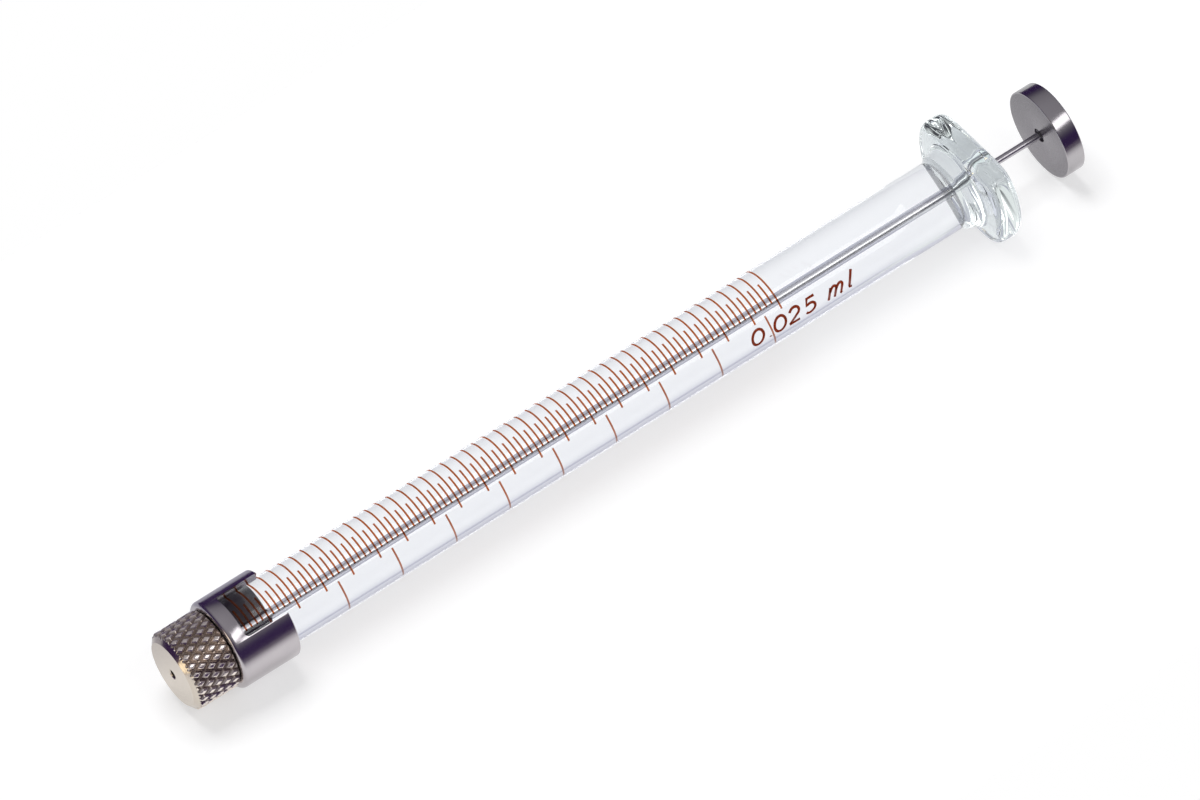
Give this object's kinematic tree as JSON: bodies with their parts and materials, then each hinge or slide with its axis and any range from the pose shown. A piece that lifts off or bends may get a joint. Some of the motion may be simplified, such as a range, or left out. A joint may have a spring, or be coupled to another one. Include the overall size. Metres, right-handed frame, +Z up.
{
  "type": "microliter syringe",
  "caption": "Glass microlitre syringe with a fine bore, wire plunger with thumb button, finger flange, windowed metal end sleeve and a knurled nut that clamps a removable needle.",
  "frame": {"origin": "centre of the needle hole in the nut's front face", "axes": "+X along the bore from the needle end to the button, +Z up and square to the flange's flats, as the syringe lies on its side"},
  "size_m": [0.0997, 0.0132, 0.0092],
  "materials": {
    "clear_glass": "clear fire-polished borosilicate glass",
    "sleeve_metal": "polished nickel plate",
    "nut_metal": "bright nickel plate with a diamond knurl",
    "button_metal": "fine turned stainless steel with a polished rim",
    "wire_steel": "ground and polished stainless steel",
    "seal_polymer": "white fluoropolymer"
  },
  "bodies": {
    "barrel": {"glass_barrel": "clear_glass", "needle_end_sleeve": "sleeve_metal", "seat_washer": "seal_polymer"},
    "ferrule": {"compression_ferrule": "seal_polymer"},
    "nut": {"knurled_nut": "nut_metal"},
    "plunger": {"plunger_wire": "wire_steel", "plunger_button": "button_metal"}
  },
  "joints": [
    {"name": "plunger_slide", "type": "slide", "parent": "barrel", "child": "plunger", "axis": [1, 0, 0], "range_m": [0, 0.06]},
    {"name": "nut_travel", "type": "slide", "parent": "barrel", "child": "ferrule", "axis": [-1, 0, 0], "range_m": [0, 0.0025]},
    {"name": "nut_spin", "type": "hinge", "parent": "ferrule", "child": "nut", "pos_m": [0, 0, 0], "axis": [-1, 0, 0], "range_deg": [0, 1800]}
  ],
  "couplings": [
    {"joint": "nut_spin", "follows": "nut_travel", "rad_per_m": 12566}
  ]
}
